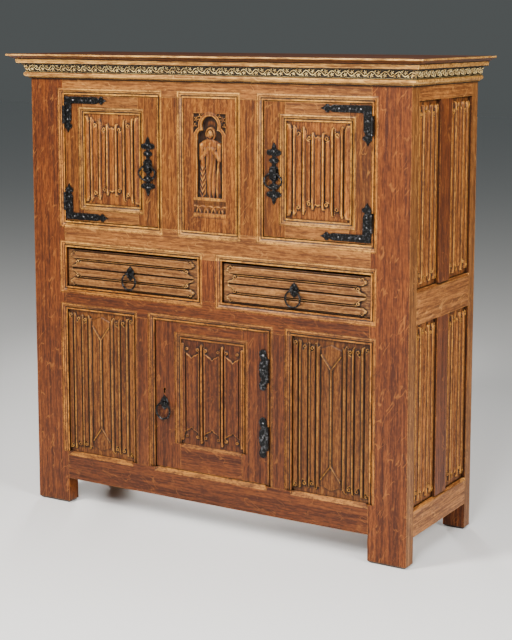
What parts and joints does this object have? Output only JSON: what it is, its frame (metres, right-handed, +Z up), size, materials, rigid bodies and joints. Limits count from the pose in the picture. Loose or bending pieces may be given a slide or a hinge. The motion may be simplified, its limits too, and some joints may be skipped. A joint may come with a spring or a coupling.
{
  "type": "cupboard",
  "caption": "Joined oak cupboard with linenfold doors, drawers and side panels, a carved figure panel, a moulded cornice and black iron hinges and pulls.",
  "frame": {"origin": "on the floor, in the middle of the whole width and depth, cornice included", "axes": "+Z up, -Y out of the front, +X to the right of someone facing the front"},
  "size_m": [1.432, 0.507, 1.438],
  "materials": {
    "oak": "waxed, worn golden on the edges",
    "inner_oak": "unpolished, planed",
    "iron": "forged, blackened"
  },
  "bodies": {
    "carcase": {"front_stile_right": "oak", "front_stile_left": "oak", "back_stile_right": "oak", "back_stile_left": "oak", "front_top_rail": "oak", "front_middle_rail": "oak", "front_drawer_rail": "oak", "front_bottom_rail": "oak", "upper_muntins": "oak", "drawer_divider": "oak", "lower_muntins": "oak", "side_frame_right": "oak", "side_frame_left": "oak", "side_panels_right": "oak", "side_panels_left": "oak", "back_frame": "inner_oak", "back_panels": "inner_oak", "lower_floor_boards": "inner_oak", "upper_floor_boards": "inner_oak", "drawer_runners": "inner_oak", "lower_panel_right": "oak", "lower_panel_left": "oak", "figure_panel": "oak", "cornice_base_bead": "oak", "cornice_frieze": "oak", "cornice_fillet": "oak", "top_board": "oak", "hinge_pintles": "iron", "door_stops": "inner_oak"},
    "upper_left_door": {"upper_left_stiles": "oak", "upper_left_rails": "oak", "upper_left_panel": "oak", "upper_left_corner_straps": "iron", "upper_left_lock_plate": "iron"},
    "upper_left_handle": {"upper_left_bow_handle": "iron"},
    "upper_right_door": {"upper_right_stiles": "oak", "upper_right_rails": "oak", "upper_right_panel": "oak", "upper_right_corner_straps": "iron", "upper_right_lock_plate": "iron"},
    "upper_right_handle": {"upper_right_bow_handle": "iron"},
    "lower_door": {"lower_door_stiles": "oak", "lower_door_rails": "oak", "lower_door_panel": "oak", "lower_door_hinge_leaves": "iron", "lower_door_pull_plate": "iron", "lower_door_lock_case": "iron"},
    "lower_ring": {"lower_door_ring": "iron"},
    "lower_bolt": {"lower_door_bolt": "iron"},
    "left_drawer": {"left_drawer_front": "oak", "left_drawer_box": "inner_oak", "left_drawer_bottom": "inner_oak", "left_drawer_pull_plate": "iron"},
    "left_ring": {"left_drawer_ring": "iron"},
    "right_drawer": {"right_drawer_front": "oak", "right_drawer_box": "inner_oak", "right_drawer_bottom": "inner_oak", "right_drawer_pull_plate": "iron"},
    "right_ring": {"right_drawer_ring": "iron"}
  },
  "joints": [
    {"name": "upper_left_door_hinge", "type": "hinge", "parent": "carcase", "child": "upper_left_door", "pos_m": [-0.53575, -0.1938, 1.116], "axis": [0, 0, -1], "range_deg": [0, 110]},
    {"name": "upper_left_handle_swing", "type": "hinge", "parent": "upper_left_door", "child": "upper_left_handle", "pos_m": [-0.221, -0.19625, 1.104], "axis": [-1, 0, 0], "range_deg": [0, 80]},
    {"name": "upper_right_door_hinge", "type": "hinge", "parent": "carcase", "child": "upper_right_door", "pos_m": [0.53575, -0.1938, 1.116], "axis": [0, 0, 1], "range_deg": [0, 110]},
    {"name": "upper_right_handle_swing", "type": "hinge", "parent": "upper_right_door", "child": "upper_right_handle", "pos_m": [0.221, -0.19625, 1.104], "axis": [-1, 0, 0], "range_deg": [0, 80]},
    {"name": "lower_door_hinge", "type": "hinge", "parent": "carcase", "child": "lower_door", "pos_m": [0.20075, -0.1918, 0.404], "axis": [0, 0, 1], "range_deg": [0, 110]},
    {"name": "lower_ring_swing", "type": "hinge", "parent": "lower_door", "child": "lower_ring", "pos_m": [-0.1685, -0.1965, 0.378], "axis": [-1, 0, 0], "range_deg": [0, 80]},
    {"name": "lower_bolt_slide", "type": "slide", "parent": "lower_door", "child": "lower_bolt", "axis": [-1, 0, 0], "range_m": [0, 0.018]},
    {"name": "left_drawer_slide", "type": "slide", "parent": "carcase", "child": "left_drawer", "axis": [0, -1, 0], "range_m": [0, 0.28]},
    {"name": "left_ring_swing", "type": "hinge", "parent": "left_drawer", "child": "left_ring", "pos_m": [-0.29, -0.2005, 0.77], "axis": [-1, 0, 0], "range_deg": [0, 80]},
    {"name": "right_drawer_slide", "type": "slide", "parent": "carcase", "child": "right_drawer", "axis": [0, -1, 0], "range_m": [0, 0.28]},
    {"name": "right_ring_swing", "type": "hinge", "parent": "right_drawer", "child": "right_ring", "pos_m": [0.29, -0.2005, 0.77], "axis": [-1, 0, 0], "range_deg": [0, 80]}
  ]
}
